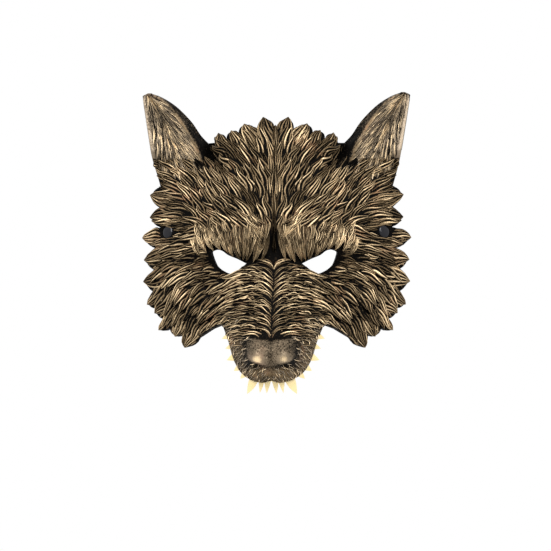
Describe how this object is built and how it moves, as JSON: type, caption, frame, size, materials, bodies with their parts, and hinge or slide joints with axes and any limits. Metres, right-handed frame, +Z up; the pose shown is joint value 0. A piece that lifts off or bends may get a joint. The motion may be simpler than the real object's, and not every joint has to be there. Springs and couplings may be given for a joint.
{
  "type": "werewolf half mask",
  "caption": "Moulded foam wolf half mask in antique bronze: spiky relief fur, pointed ears, open eyes, long muzzle with pale upper teeth, and an elastic head strap.",
  "frame": {"origin": "the mount face_seat: the bridge of the wearer's nose, in the middle of the mask's width and level with the eyes", "axes": "+Z up, the mask faces -Y, +X across the face towards the right of someone who looks at the mask"},
  "size_m": [0.2162, 0.263, 0.2416],
  "materials": {
    "bronze_foam": "moulded soft foam, near-black in the grooves, dry-brushed with antique bronze and gold on the ridges",
    "cream_teeth": "pale cream yellow, satin",
    "black_rivet": "black, glossy",
    "black_elastic": "black woven elastic"
  },
  "bodies": {
    "root": {"mask_shell": "bronze_foam", "upper_teeth": "cream_teeth", "strap_rivet_left": "black_rivet", "strap_rivet_right": "black_rivet", "head_strap": "black_elastic"}
  },
  "joints": []
}
